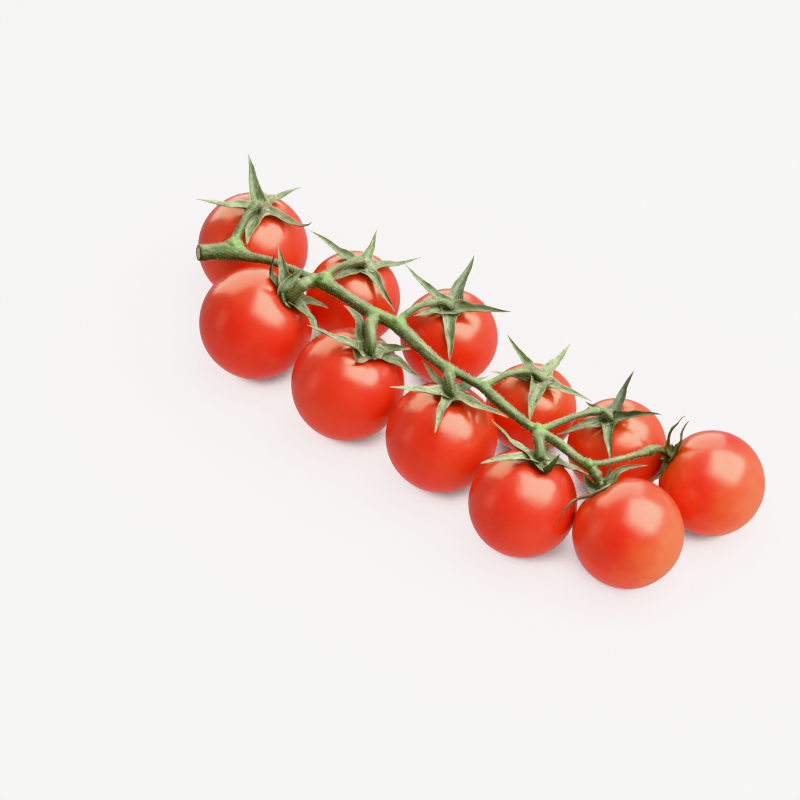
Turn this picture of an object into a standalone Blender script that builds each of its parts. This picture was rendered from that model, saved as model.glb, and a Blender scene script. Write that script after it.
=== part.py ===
"""Truss of eleven small vine tomatoes, cut from the plant and lying on a flat surface.

Frame: +X runs along the main stem from its cut end to its last fruit, +Z is up,
the fruits stand on z = 0 and the origin is under the middle of the bounding box.
All driving dimensions below are millimetres and degrees; meshes are made in metres.
"""
import math

import bmesh
import bpy
from mathutils import Vector

MM = 0.001

# ---------------------------------------------------------------- driving dimensions
ORIGIN = Vector((3.18, 10.2, 0.0))  # middle of the bounding box in the layout's own coordinates

SEAT = 0.4            # how far each fruit is pressed flat where it stands
DIMPLE = 0.13         # depth of the stem dimple, as a share of the fruit's radius
DIMPLE_SPREAD = 0.32  # radians from the axis
BLOSSOM = 0.02        # the opposite end's small hollow, share of the radius
HUB_RISE = 1.3        # sepal ring above the dimple's floor
HUB_RADIUS = 2.0
HUB_HALF = 0.6
BLADE = 0.7           # sepal thickness
CLEAR = 0.8           # sepal centre line to any fruit
CLEAR_STEM = 0.65     # sepal to any stem, plus part of the sepal's own width
JOINT_GAP = 0.3       # between a pedicel's two halves at its knuckle
FRUIT_SIDES = 18
STEM_SIDES = 10
TWIG_SIDES = 7

# fruit: x, y of the centre, diameter, tilt of the stem axis from vertical, heading of that tilt
FRUITS = {
    1: (-73.6, 23.8, 31.6, 10, -2),
    2: (-50.5, -0.6, 31.0, 42, 22),
    3: (-38.5, 26.5, 26.8, 15, 7),
    4: (-14.7, -4.2, 30.7, 24, 19),
    5: (-6.9, 30.0, 27.1, 13, -49),
    6: (17.5, -4.2, 29.5, 9, 58),
    7: (27.4, 22.1, 24.4, 13, -5),
    8: (48.8, -10.2, 28.2, 19, 75),
    9: (54.9, 23.0, 26.3, 17, -99),
    10: (76.1, -2.0, 27.9, 48, 172),
    11: (82.2, 27.0, 27.2, 61, -161),
}

# main stem: x, y, z, diameter, from the cut end to the last pedicel
STEM = [
    (-72.9, 0.6, 28.0, 4.3), (-69.5, 3.9, 28.0, 4.3), (-65.7, 7.2, 28.0, 5.6),
    (-60.4, 8.4, 28.0, 3.0), (-54.7, 10.3, 28.3, 2.3), (-47.5, 10.5, 29.0, 2.3),
    (-40.1, 10.3, 29.7, 3.0), (-35.6, 10.6, 30.2, 4.2), (-26.6, 9.2, 31.0, 3.4),
    (-17.2, 7.6, 31.7, 3.7), (-12.0, 7.6, 32.0, 3.6), (-6.6, 7.3, 32.0, 4.0),
    (2.9, 4.9, 31.7, 3.4), (9.5, 3.4, 31.4, 3.0), (13.4, 3.2, 31.2, 3.0),
    (20.4, 3.8, 30.6, 2.4), (24.9, 3.9, 30.2, 2.8), (30.2, 2.5, 30.0, 3.1),
    (37.1, 1.1, 29.7, 2.6), (44.1, 0.2, 29.3, 2.6), (50.8, 0.4, 28.8, 2.7),
    (57.8, -0.6, 28.2, 2.5), (61.4, -0.5, 27.7, 2.4),
]

# pedicels: x, y, z, diameter down to the knuckle, then on towards the fruit;
# the last stretch into the sepal ring follows the fruit's own axis
PEDICEL_IN = {
    1: [(-66.6, 8.2, 28.2, 3.6), (-68.2, 11.4, 29.1, 2.6), (-69.4, 16.4, 31.6, 2.2), (-69.9, 21.0, 33.3, 2.8)],
    2: [(-38.4, 10.4, 29.9, 3.2), (-38.8, 8.6, 30.2, 3.2), (-39.1, 6.6, 30.2, 3.8)],
    3: [(-35.9, 11.4, 30.4, 3.2), (-36.2, 14.2, 30.9, 2.4), (-35.8, 19.4, 30.6, 2.1), (-35.3, 24.4, 29.0, 2.7)],
    4: [(-14.6, 7.4, 31.9, 3.2), (-13.6, 5.4, 32.4, 3.2), (-12.2, 2.8, 33.0, 3.6)],
    5: [(-7.4, 8.6, 32.1, 2.9), (-8.2, 11.2, 32.1, 2.2), (-8.2, 18.4, 31.2, 2.0), (-7.7, 24.2, 29.0, 2.7)],
    6: [(13.8, 2.8, 31.2, 2.7), (14.9, 1.6, 31.6, 2.5), (16.2, 0.2, 32.0, 3.0)],
    7: [(24.7, 4.4, 30.2, 2.5), (25.0, 7.0, 30.1, 2.1), (26.0, 14.4, 28.8, 1.9), (27.0, 19.6, 26.6, 2.6)],
    8: [(44.8, 0.0, 29.3, 2.5), (45.8, -1.0, 29.7, 2.4), (47.2, -2.4, 30.0, 3.0)],
    9: [(45.2, 0.8, 29.2, 2.5), (46.4, 3.8, 29.3, 2.1), (49.4, 11.8, 29.0, 1.9), (51.7, 17.4, 28.0, 2.6)],
    10: [(61.4, -0.5, 27.7, 2.4), (62.6, -0.4, 26.9, 2.4), (63.4, -0.3, 26.0, 2.9)],
    11: [(61.6, -0.2, 27.8, 2.4), (63.6, 3.0, 27.6, 2.0), (66.4, 10.8, 26.8, 1.9), (67.9, 16.8, 24.9, 2.7)],
}
PEDICEL_OUT = {1: 2.3, 2: 3.4, 3: 2.0, 4: 3.2, 5: 2.1, 6: 2.5, 7: 2.0, 8: 2.6, 9: 2.1, 10: 2.4, 11: 2.0}

# sepals: heading round the stem axis, length, lift at the base, lift at the tip, sideways sweep, width
SEPALS = {
    1: [(143, 17.0, 17, 27, 0, 4.4), (92, 15.5, -10, 14, -25, 3.4), (21, 17.0, -2, 26, -10, 3.6),
        (-67, 12.5, 3, -17, 10, 3.6), (-130, 18.0, 16, 16, 0, 3.6)],
    2: [(196, 14.5, 6, 56, 0, 3.4), (151, 16.0, 4, 12, 10, 4.2), (127, 7.5, 32, 55, 10, 3.0),
        (51, 11.5, 8, 8, 0, 3.0), (-6, 15.5, 30, 4, -25, 3.6)],
    3: [(181, 18.5, -5, 0, 0, 3.6), (115, 13.5, -10, 30, 0, 3.6), (59, 17.0, -8, 17, 0, 3.6),
        (-12, 15.5, 4, -26, 0, 3.6), (-99, 12.0, 8, 8, 0, 3.4)],
    4: [(218, 18.0, 7, 12, 0, 3.6), (176, 15.0, 15, 50, 20, 3.4), (63, 12.5, -8, 2, 0, 3.4),
        (36, 16.0, -4, -16, -5, 3.8), (-100, 6.0, 10, 60, 0, 3.0)],
    5: [(190, 17.0, 30, 46, 0, 3.6), (106, 17.5, -1, 19, 0, 3.6), (23, 17.0, 14, 19, 0, 3.8),
        (-51, 15.0, -5, -30, 0, 3.4), (-107, 12.5, 21, 31, 0, 3.2)],
    6: [(161, 13.5, 0, 10, 0, 3.8), (233, 16.5, 18, 8, 0, 3.6), (-71, 14.5, 5, -15, 10, 3.2),
        (7, 17.5, 14, 9, -10, 3.8), (84, 14.0, -6, 6, 0, 3.4)],
    7: [(187, 15.0, 30, 46, 0, 3.6), (96, 15.5, -8, 12, 0, 3.6), (7, 16.0, 14, 24, -10, 3.6),
        (-67, 14.0, 8, -7, 5, 3.2), (-136, 13.5, 11, 11, 0, 2.8)],
    8: [(208, 16.0, 17, 42, 10, 3.6), (238, 16.5, 6, -9, 10, 3.6), (-17, 6.5, 19, 60, 0, 3.4),
        (48, 14.5, -8, -12, 0, 3.6), (105, 7.0, 2, 30, 0, 3.2)],
    9: [(102, 15.5, -5, 10, 0, 3.6), (25, 15.0, 27, 17, -10, 3.6), (-55, 14.5, 16, -4, 5, 3.6),
        (234, 14.5, 19, 24, 0, 3.6), (172, 8.0, 0, 10, 0, 3.0)],
    10: [(23, 14.5, -3, 7, -20, 3.2), (-108, 14.5, -8, 12, 20, 3.5), (-158, 6.0, 26, 58, 0, 3.0),
         (155, 8.0, 40, 50, 0, 3.0), (78, 6.0, 22, 50, 0, 3.2)],
    11: [(40, 13.5, -1, 44, -20, 3.6), (5, 12.0, -5, 40, 0, 3.2), (-166, 10.5, -10, 10, 10, 3.4),
         (105, 9.5, 0, 10, 0, 3.0), (-75, 10.5, -10, -20, 0, 3.0)],
}

RED = (0.62, 0.035, 0.018)
GREEN_STEM = (0.24, 0.30, 0.11)
GREEN_SEPAL = (0.27, 0.33, 0.16)


# ---------------------------------------------------------------- geometry helpers
def rad(a):
    return math.radians(a)


def centre(k):
    x, y, d, _, _ = FRUITS[k]
    return Vector((x, y, d / 2 - SEAT))


def axis(k):
    _, _, _, tilt, head = FRUITS[k]
    return Vector((math.sin(rad(tilt)) * math.cos(rad(head)), math.sin(rad(tilt)) * math.sin(rad(head)), math.cos(rad(tilt))))


def upright_to(k):
    """The least turn that takes +Z to the fruit's stem axis."""
    return Vector((0, 0, 1)).rotation_difference(axis(k)).to_matrix()


def fruit_radius(k, theta):
    """Distance from the centre to the skin, theta radians from the stem axis."""
    r = FRUITS[k][2] / 2
    return r * (1 - DIMPLE * math.exp(-(theta / DIMPLE_SPREAD) ** 2) - BLOSSOM * math.exp(-((math.pi - theta) / 0.25) ** 2))


def ring_seat(k):
    return centre(k) + axis(k) * (FRUITS[k][2] / 2 * (1 - DIMPLE) + HUB_RISE)


def spline(points, step):
    """Points about `step` apart on a smooth curve through `points`; extra values ride along."""
    out = []
    n = len(points)
    for i in range(n - 1):
        p0, p1, p2, p3 = (points[max(i - 1, 0)], points[i], points[i + 1], points[min(i + 2, n - 1)])
        length = math.dist(p1[:3], p2[:3])
        parts = max(1, round(length / step))
        for j in range(parts):
            t = j / parts
            out.append(tuple(
                0.5 * (2 * b + (c - a) * t + (2 * a - 5 * b + 4 * c - d) * t * t + (3 * b - a - 3 * c + d) * t ** 3)
                for a, b, c, d in zip(p0, p1, p2, p3)))
    out.append(tuple(points[-1]))
    return out


def new_object(name, bm, material=None):
    bmesh.ops.recalc_face_normals(bm, faces=bm.faces)
    mesh = bpy.data.meshes.new(name)
    bm.to_mesh(mesh)
    bm.free()
    obj = bpy.data.objects.new(name, mesh)
    bpy.context.scene.collection.objects.link(obj)
    if material:
        mesh.materials.append(material)
    return obj


def placed(v):
    return (Vector(v) - ORIGIN) * MM


def tube(name, stations, sides):
    """Closed round tube through (x, y, z, diameter) stations, with flat ends."""
    pts = [Vector(s[:3]) for s in stations]
    bm = bmesh.new()
    rings = []
    side = None
    for i, p in enumerate(pts):
        t = (pts[min(i + 1, len(pts) - 1)] - pts[max(i - 1, 0)]).normalized()
        if side is None:
            side = t.cross(Vector((0.3, 0.2, 1.0))).normalized()
        side = (side - t * side.dot(t)).normalized()
        other = t.cross(side)
        r = stations[i][3] / 2
        rings.append([bm.verts.new(placed(p + (side * math.cos(a) + other * math.sin(a)) * r))
                      for a in (2 * math.pi * j / sides for j in range(sides))])
    for lo, hi in zip(rings[:-1], rings[1:]):
        for j in range(sides):
            bm.faces.new((lo[j], lo[(j + 1) % sides], hi[(j + 1) % sides], hi[j]))
    bm.faces.new(rings[0][::-1])
    bm.faces.new(rings[-1])
    return new_object(name, bm)


def join_solids(name, solids, material):
    """One closed body out of overlapping solids."""
    base = solids[0]
    for other in solids[1:]:
        cut = base.modifiers.new("join", "BOOLEAN")
        cut.operation = "UNION"
        cut.solver = "EXACT"
        cut.object = other
    bpy.context.view_layer.update()
    whole = bpy.data.meshes.new_from_object(base.evaluated_get(bpy.context.evaluated_depsgraph_get()))
    for s in solids:
        bpy.data.objects.remove(s)
    bm = bmesh.new()
    bm.from_mesh(whole)
    bmesh.ops.triangulate(bm, faces=bm.faces)
    bpy.data.meshes.remove(whole)
    obj = new_object(name, bm, material)
    obj.data.shade_smooth()
    obj.data.set_sharp_from_angle(angle=rad(40))
    return obj


def material(name, colour, roughness):
    m = bpy.data.materials.new(name)
    m.use_nodes = True
    b = m.node_tree.nodes["Principled BSDF"]
    b.inputs["Base Color"].default_value = (*colour, 1)
    b.inputs["Roughness"].default_value = roughness
    b.inputs["Metallic"].default_value = 0.0
    return m


# ---------------------------------------------------------------- pieces
def make_fruit(k, skin):
    """Turned body with a stem dimple, pressed flat where it stands on the surface."""
    turn, c = upright_to(k), centre(k)
    thetas = [0.15, 0.32, 0.5] + [0.5 + (math.pi - 0.75) * i / 8 for i in range(1, 9)]
    bm = bmesh.new()
    top = bm.verts.new(placed(c + turn @ Vector((0, 0, fruit_radius(k, 0)))))
    rings = []
    for i, th in enumerate(thetas):
        r = fruit_radius(k, th)
        off = 0.5 * (i % 2)
        rings.append([bm.verts.new(placed(c + turn @ Vector((
            r * math.sin(th) * math.cos(2 * math.pi * (j + off) / FRUIT_SIDES),
            r * math.sin(th) * math.sin(2 * math.pi * (j + off) / FRUIT_SIDES),
            r * math.cos(th))))) for j in range(FRUIT_SIDES)])
    foot = bm.verts.new(placed(c - turn @ Vector((0, 0, fruit_radius(k, math.pi)))))
    n = FRUIT_SIDES
    for j in range(n):
        bm.faces.new((top, rings[0][j], rings[0][(j + 1) % n]))
        bm.faces.new((foot, rings[-1][(j + 1) % n], rings[-1][j]))
    for i, (lo, hi) in enumerate(zip(rings[:-1], rings[1:])):
        for j in range(n):
            a, b, c1, d = lo[j], lo[(j + 1) % n], hi[j], hi[(j + 1) % n]
            if i % 2 == 0:
                bm.faces.new((a, c1, b))
                bm.faces.new((b, c1, d))
            else:
                bm.faces.new((a, c1, d))
                bm.faces.new((a, d, b))
    bmesh.ops.recalc_face_normals(bm, faces=bm.faces)
    cut = bmesh.ops.bisect_plane(bm, geom=bm.verts[:] + bm.edges[:] + bm.faces[:], dist=1e-6,
                                 plane_co=(0, 0, 0), plane_no=(0, 0, 1), clear_inner=True)
    rim = [e for e in cut["geom_cut"] if isinstance(e, bmesh.types.BMEdge)]
    bmesh.ops.contextual_create(bm, geom=rim)
    for v in bm.verts:
        if abs(v.co.z) < 1e-6:
            v.co.z = 0.0
    bmesh.ops.remove_doubles(bm, verts=bm.verts, dist=0.00005)
    obj = new_object("tomato_%02d" % k, bm, skin)
    obj.data.shade_smooth()
    obj.data.set_sharp_from_angle(angle=rad(40))
    return obj


def blade_half(width, s):
    """Half width of a sepal at share s of its length."""
    return max(0.22, width / 2 * (0.72 + 0.28 * math.sin(min(1.0, s * 2.6) * math.pi / 2)) * (1 - s ** 1.9))


def kept_clear(p, own, s, half):
    """Moves a sepal's centre-line point out to its clearance from every fruit and every stem."""
    for k in FRUITS:
        v = p - centre(k)
        skin = fruit_radius(k, v.angle(axis(k))) if k == own else FRUITS[k][2] / 2
        if v.length < skin + CLEAR:
            p = centre(k) + v.normalized() * (skin + CLEAR)
    runs = [STEM] if s > 0.1 else []
    runs += [run for k, run in PEDICEL_IN.items() if k != own or s > 0.25]
    for run in runs:
        for a, b in zip(run[:-1], run[1:]):
            pa, pb = Vector(a[:3]), Vector(b[:3])
            t = min(1.0, max(0.0, (p - pa).dot(pb - pa) / (pb - pa).length_squared))
            near = pa.lerp(pb, t)
            keep = (a[3] + (b[3] - a[3]) * t) / 2 + CLEAR_STEM + 0.6 * half
            if (p - near).length < keep:
                p = near + (p - near).normalized() * keep
    return p


def sepal_line(k, heading, length, lift0, lift1, sweep, width, steps=24):
    """Centre line of one sepal, from the hub to its tip, with its width direction."""
    turn = upright_to(k)
    a0 = rad(heading)
    p = ring_seat(k) + turn @ Vector((math.cos(a0), math.sin(a0), 0)) * 0.9
    line = [p]
    for i in range(steps):
        s = (i + 0.5) / steps
        a = a0 + rad(sweep) * s
        f = rad(lift0 + (lift1 - lift0) * s)
        p = p + turn @ Vector((math.cos(a) * math.cos(f), math.sin(a) * math.cos(f), math.sin(f))) * (length / steps)
        line.append(p)
    for _ in range(3):
        line = [kept_clear(q, k, i / steps, blade_half(width, i / steps)) for i, q in enumerate(line)]
        line = [line[0]] + [line[i] * 0.5 + (line[i - 1] + line[i + 1]) * 0.25 for i in range(1, steps)] + [line[-1]]
    line = [kept_clear(q, k, i / steps, blade_half(width, i / steps)) for i, q in enumerate(line)]
    wide = [turn @ Vector((-math.sin(a0 + rad(sweep) * i / steps), math.cos(a0 + rad(sweep) * i / steps), 0))
            for i in range(steps + 1)]
    return line, wide


def make_blade(k, row, picks=(0, 4, 9, 14, 19, 24)):
    """Lance-shaped sepal: widest a third of the way out, thin at the edges and the tip."""
    width = row[-1]
    line, wide = sepal_line(k, *row)
    bm = bmesh.new()
    rings = []
    for i in picks:
        s = i / 24
        t = (line[min(i + 1, 24)] - line[max(i - 1, 0)]).normalized()
        w = (wide[i] - t * wide[i].dot(t)).normalized()
        up = t.cross(w)
        half = blade_half(width, s)
        thick = BLADE / 2 * (1 - 0.45 * s)
        rings.append([bm.verts.new(placed(line[i] + d)) for d in (w * half, up * thick, -w * half, -up * thick)])
    for lo, hi in zip(rings[:-1], rings[1:]):
        for j in range(4):
            bm.faces.new((lo[j], lo[(j + 1) % 4], hi[(j + 1) % 4], hi[j]))
    bm.faces.new(rings[0][::-1])
    bm.faces.new(rings[-1])
    return new_object("blade", bm)


def pedicel_tail(k):
    """Stations from the knuckle into the sepal ring, arriving along the fruit's axis."""
    upper = spline(PEDICEL_IN[k], 3.0)
    knuckle = Vector(upper[-1][:3])
    go = (knuckle - Vector(upper[-2][:3])).normalized()
    wide = upper[-1][3] * 0.96
    start = knuckle + go * (JOINT_GAP + 0.6)
    seat = ring_seat(k)
    reach = (seat - start).length
    b1, b2 = start + go * reach * 0.3, seat + axis(k) * reach * 0.45
    out = [(*(knuckle + go * JOINT_GAP), wide)]
    for i in range(5):
        t = i / 4
        p = start * (1 - t) ** 3 + b1 * 3 * t * (1 - t) ** 2 + b2 * 3 * t * t * (1 - t) + seat * t ** 3
        out.append((*p, wide + (PEDICEL_OUT[k] - wide) * min(1.0, t * 2.5)))
    return out


def make_calyx(k, green):
    """Pedicel below its knuckle, the hub and the sepals, which part from the truss as one piece."""
    seat, n = ring_seat(k), axis(k)
    hub = tube("hub", [(*(seat - n * HUB_HALF), HUB_RADIUS * 1.7), (*seat, HUB_RADIUS * 2), (*(seat + n * HUB_HALF), HUB_RADIUS * 1.5)], 8)
    solids = [hub, tube("tail", pedicel_tail(k), TWIG_SIDES)]
    solids += [make_blade(k, row) for row in SEPALS[k]]
    return join_solids("calyx_%02d" % k, solids, green)


def make_stem(green):
    """Main stem with the pedicels' upper halves, grown as one piece."""
    solids = [tube("axis", spline(STEM, 4.0), STEM_SIDES)]
    for k, stations in PEDICEL_IN.items():
        solids.append(tube("pedicel", spline(stations, 3.0), TWIG_SIDES))
    return join_solids("rachis", solids, green)


# ---------------------------------------------------------------- build
for old in list(bpy.data.objects):
    bpy.data.objects.remove(old)

skin = material("tomato_skin", RED, 0.22)
stem_green = material("stem_green", GREEN_STEM, 0.6)
sepal_green = material("calyx_green", GREEN_SEPAL, 0.65)

make_stem(stem_green)
for k in FRUITS:
    make_fruit(k, skin)
    make_calyx(k, sepal_green)
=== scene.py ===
"""Looks of the tomato truss: fine meshes, procedural materials, studio light and camera."""
import math

import bpy
import numpy as np
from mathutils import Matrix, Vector, noise
from mathutils.bvhtree import BVHTree


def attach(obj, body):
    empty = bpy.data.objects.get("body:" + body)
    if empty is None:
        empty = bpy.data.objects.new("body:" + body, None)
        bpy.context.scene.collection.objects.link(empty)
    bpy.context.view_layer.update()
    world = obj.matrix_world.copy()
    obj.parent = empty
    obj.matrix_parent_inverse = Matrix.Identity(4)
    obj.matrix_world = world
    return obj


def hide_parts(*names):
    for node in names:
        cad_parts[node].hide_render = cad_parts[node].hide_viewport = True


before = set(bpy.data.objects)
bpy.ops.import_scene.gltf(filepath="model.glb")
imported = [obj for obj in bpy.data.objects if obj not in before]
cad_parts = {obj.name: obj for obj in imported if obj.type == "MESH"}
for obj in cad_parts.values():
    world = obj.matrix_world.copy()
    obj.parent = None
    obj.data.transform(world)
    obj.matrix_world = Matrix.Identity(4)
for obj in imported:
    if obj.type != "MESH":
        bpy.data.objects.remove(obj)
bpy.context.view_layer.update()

scene = bpy.context.scene
MM = 0.001

# ---------------------------------------------------------------- layout, as in the solids (mm, degrees)
ORIGIN = np.array((3.18, 10.2, 0.0))
SEAT = 0.4
DIMPLE = 0.13
DIMPLE_SPREAD = 0.32
HUB_RISE = 1.3

# x, y, diameter, tilt of the stem axis, heading of the tilt
FRUITS = {
    1: (-73.6, 23.8, 31.6, 10, -2), 2: (-50.5, -0.6, 31.0, 42, 22), 3: (-38.5, 26.5, 26.8, 15, 7),
    4: (-14.7, -4.2, 30.7, 24, 19), 5: (-6.9, 30.0, 27.1, 13, -49), 6: (17.5, -4.2, 29.5, 9, 58),
    7: (27.4, 22.1, 24.4, 13, -5), 8: (48.8, -10.2, 28.2, 19, 75), 9: (54.9, 23.0, 26.3, 17, -99),
    10: (76.1, -2.0, 27.9, 48, 172), 11: (82.2, 27.0, 27.2, 61, -161),
}
STEM = [
    (-72.9, 0.6, 28.0, 4.3), (-69.5, 3.9, 28.0, 4.3), (-65.7, 7.2, 28.0, 5.4),
    (-60.4, 8.4, 28.0, 3.0), (-54.7, 10.3, 28.3, 2.3), (-47.5, 10.5, 29.0, 2.3),
    (-40.1, 10.3, 29.7, 3.0), (-35.6, 10.6, 30.2, 4.2), (-26.6, 9.2, 31.0, 3.4),
    (-17.2, 7.6, 31.7, 3.7), (-12.0, 7.6, 32.0, 3.6), (-6.6, 7.3, 32.0, 4.0),
    (2.9, 4.9, 31.7, 3.4), (9.5, 3.4, 31.4, 3.0), (13.4, 3.2, 31.2, 3.0),
    (20.4, 3.8, 30.6, 2.4), (24.9, 3.9, 30.2, 2.8), (30.2, 2.5, 30.0, 3.1),
    (37.1, 1.1, 29.7, 2.6), (44.1, 0.2, 29.3, 2.6), (50.8, 0.4, 28.8, 2.7),
    (57.8, -0.6, 28.2, 2.5), (61.4, -0.5, 27.7, 2.4),
]
PEDICEL_IN = {
    1: [(-66.6, 8.2, 28.2, 3.6), (-68.2, 11.4, 29.1, 2.6), (-69.4, 16.4, 31.6, 2.2), (-69.9, 21.0, 33.3, 2.6)],
    2: [(-38.4, 10.4, 29.9, 3.2), (-38.8, 8.6, 30.2, 3.2), (-39.1, 6.6, 30.2, 3.6)],
    3: [(-35.9, 11.4, 30.4, 3.2), (-36.2, 14.2, 30.9, 2.4), (-35.8, 19.4, 30.6, 2.1), (-35.3, 24.4, 29.0, 2.5)],
    4: [(-14.6, 7.4, 31.9, 3.2), (-13.6, 5.4, 32.4, 3.2), (-12.2, 2.8, 33.0, 3.4)],
    5: [(-7.4, 8.6, 32.1, 2.9), (-8.2, 11.2, 32.1, 2.2), (-8.2, 18.4, 31.2, 2.0), (-7.7, 24.2, 29.0, 2.5)],
    6: [(13.8, 2.8, 31.2, 2.7), (14.9, 1.6, 31.6, 2.5), (16.2, 0.2, 32.0, 2.8)],
    7: [(24.7, 4.4, 30.2, 2.5), (25.0, 7.0, 30.1, 2.1), (26.0, 14.4, 28.8, 1.9), (27.0, 19.6, 26.6, 2.4)],
    8: [(44.8, 0.0, 29.3, 2.5), (45.8, -1.0, 29.7, 2.4), (47.2, -2.4, 30.0, 2.8)],
    9: [(45.2, 0.8, 29.2, 2.5), (46.4, 3.8, 29.3, 2.1), (49.4, 11.8, 29.0, 1.9), (51.7, 17.4, 28.0, 2.4)],
    10: [(61.4, -0.5, 27.7, 2.4), (62.6, -0.4, 26.9, 2.4), (63.4, -0.3, 26.0, 2.7)],
    11: [(61.6, -0.2, 27.8, 2.4), (63.6, 3.0, 27.0, 2.0), (66.4, 10.8, 25.2, 1.9), (67.9, 16.8, 23.6, 2.5)],
}
PEDICEL_OUT = {1: 2.3, 2: 3.4, 3: 2.1, 4: 3.2, 5: 2.2, 6: 2.5, 7: 2.1, 8: 2.6, 9: 2.2, 10: 2.4, 11: 2.1}
# heading, length, lift at the base, lift at the tip, sweep, width (and bow, curl of the tip)
SEPALS = {
    1: [(143, 17.0, 17, 27, 0, 4.6), (92, 15.5, -10, 14, -25, 4.0), (21, 17.5, -6, -4, -10, 3.8, 0, 95),
        (-67, 12.5, 3, -17, 10, 4.8), (-130, 18.0, 16, 16, 0, 3.6)],
    2: [(196, 14.5, 6, 56, 0, 3.4), (151, 16.0, 4, 12, 10, 4.3), (122, 9.0, 42, 62, 0, 5.2),
        (51, 11.5, 24, -4, 0, 3.4), (-6, 15.5, 30, 4, -25, 3.6)],
    3: [(181, 18.5, -5, 0, 0, 3.6), (115, 13.5, -10, 30, 0, 3.6), (59, 17.0, -8, 17, 0, 3.6),
        (-12, 15.5, 4, -26, 0, 3.6), (-99, 12.0, 8, 8, 0, 3.4)],
    4: [(218, 18.0, 7, 12, 0, 3.6), (150, 14.5, 22, 50, 48, 4.6), (63, 12.5, 7, -8, 0, 4.4),
        (36, 16.0, -4, -16, -5, 4.2), (-85, 8.0, -5, 70, 0, 3.3)],
    5: [(190, 17.0, 30, 46, 0, 3.6), (106, 17.5, -1, 19, 0, 4.5), (23, 17.0, 14, 19, 0, 3.8),
        (-51, 15.0, -5, -30, 0, 4.0), (-107, 12.5, 21, 31, 0, 3.2)],
    6: [(161, 13.5, 0, 10, 0, 3.8), (233, 16.5, 18, 8, 0, 3.6), (-71, 14.5, 5, -15, 10, 3.2),
        (7, 17.5, 14, 9, -10, 3.8), (84, 14.0, -6, 6, 0, 3.4)],
    7: [(187, 15.0, 30, 46, 0, 3.6), (96, 15.5, -8, 12, 0, 3.6), (7, 16.0, 14, 24, -10, 3.6),
        (-67, 14.0, 8, -7, 5, 4.8), (-136, 13.5, 11, 11, 0, 2.8)],
    8: [(208, 16.0, 17, 42, 10, 3.6), (238, 16.5, 6, -9, 10, 3.6), (-62, 11.0, -14, 40, 65, 4.4),
        (48, 14.5, -8, -12, 0, 3.6), (105, 7.0, 2, 30, 0, 3.2)],
    9: [(102, 15.5, -5, 10, 0, 3.6), (25, 15.0, 27, 17, -10, 3.2), (-55, 14.5, 16, -4, 5, 3.6),
        (240, 14.5, 15, 20, 0, 3.0), (172, 8.0, 0, 10, 0, 3.0)],
    10: [(23, 14.5, -3, 7, -20, 2.3, 12), (-125, 14.5, -8, 5, 50, 1.9), (-158, 6.0, 26, 58, 0, 3.0),
         (155, 8.0, 40, 50, 0, 3.8), (78, 6.0, 22, 50, 0, 3.2)],
    11: [(40, 12.0, -1, 40, -20, 2.6), (5, 11.0, -5, 38, 0, 2.6), (-166, 10.5, -10, 10, 10, 3.4),
         (105, 9.5, 0, 10, 0, 3.0), (-75, 10.5, -10, -20, 0, 3.0)],
}
# these leaves curl too freely for angles: points from the calyx's middle, in mm (right, height, towards the viewer)
CURLED = {
    (2, 0): [(-2.7, 1.5, -1.1), (-4.9, 3.4, -3.4), (-5.4, 6.0, -5.3), (-4.0, 10.0, -7.3)],
    (2, 1): [(-0.9, 2.5, -2.4), (-1.7, 6.0, -5.3), (-3.2, 11.0, -9.8)],
    (2, 2): [(-0.6, 2.6, -1.0), (0.9, 4.4, -3.2), (3.6, 6.6, -5.2)],
    (4, 1): [(-2.2, 1.5, -3.5), (-2.8, 4.6, -7.3), (-4.7, 6.8, -8.9), (-6.6, 8.0, -9.5)],
    (4, 4): [(-2.1, 0.5, 3.3), (-3.3, 3.0, 4.6), (-4.0, 5.5, 5.0)],
    (8, 2): [(0.8, -0.3, 5.0), (3.0, 2.4, 5.0), (5.0, 5.6, 3.8)],
    (10, 0): [(2.0, 1.4, -0.6), (4.0, 3.6, -2.4), (7.0, 4.2, -3.2), (11.6, 5.0, -3.1)],
    (10, 1): [(-0.6, 0.2, 2.2), (-3.2, 0.5, 3.7), (-7.0, 1.5, 6.0), (-10.4, 0.0, 9.2), (-11.5, -2.5, 11.2)],
    (10, 2): [(-0.4, 0.3, -1.8), (-0.6, 1.0, -3.6), (-0.4, 1.6, -5.4)],
    (10, 3): [(-1.7, 0.5, 0.9), (-3.5, 2.1, 1.0), (-5.0, 5.4, 0.4)],
    (11, 0): [(-0.7, 3.2, -0.4), (-0.6, 7.6, -0.5), (0.9, 10.4, -0.5), (2.0, 13.0, -0.5), (2.9, 13.2, -0.5)],
    (11, 1): [(1.2, 2.5, 0.9), (2.1, 5.6, 1.0), (2.2, 9.4, 1.0), (3.6, 13.2, 1.0)],
    (11, 2): [(-0.9, -1.6, 1.6), (-2.4, -3.2, 3.2), (-4.7, -4.6, 4.8)],
    (11, 3): [(-0.3, -1.6, -1.6), (0.2, -4.2, -3.2), (1.0, -7.5, -4.4)],
    (11, 4): [(0.2, -0.8, -2.2), (1.2, -3.4, -4.6), (2.6, -6.4, -6.2)],
}
FACING = ((10, 3), (10, 0), (2, 1), (2, 2), (4, 4), (11, 2))
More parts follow.
